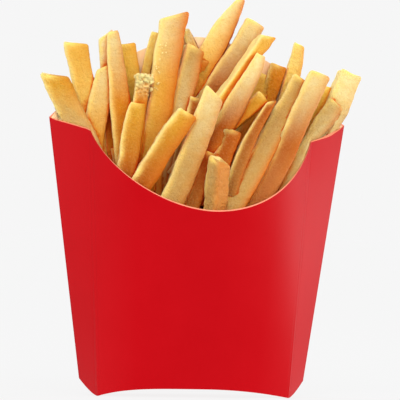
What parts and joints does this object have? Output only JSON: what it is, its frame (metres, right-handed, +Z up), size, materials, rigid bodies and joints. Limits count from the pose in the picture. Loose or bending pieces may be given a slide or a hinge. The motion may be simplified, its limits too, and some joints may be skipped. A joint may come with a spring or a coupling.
{
  "type": "french fries in a carton",
  "caption": "French fries standing in a plain red folded paperboard carton with a scooped front, an arched back and an arched bottom.",
  "frame": {"origin": "on the surface the carton stands on, under the middle of the object's bounding box", "axes": "+Z up, the carton's scooped front towards -Y, +X to the right of the front"},
  "size_m": [0.1222, 0.0398, 0.1472],
  "materials": {
    "carton": "satin red print outside, plain tan board inside",
    "fries": "fried potato, pale yellow with golden edges"
  },
  "bodies": {
    "root": {"carton": "carton", "fries": "fries"}
  },
  "joints": []
}
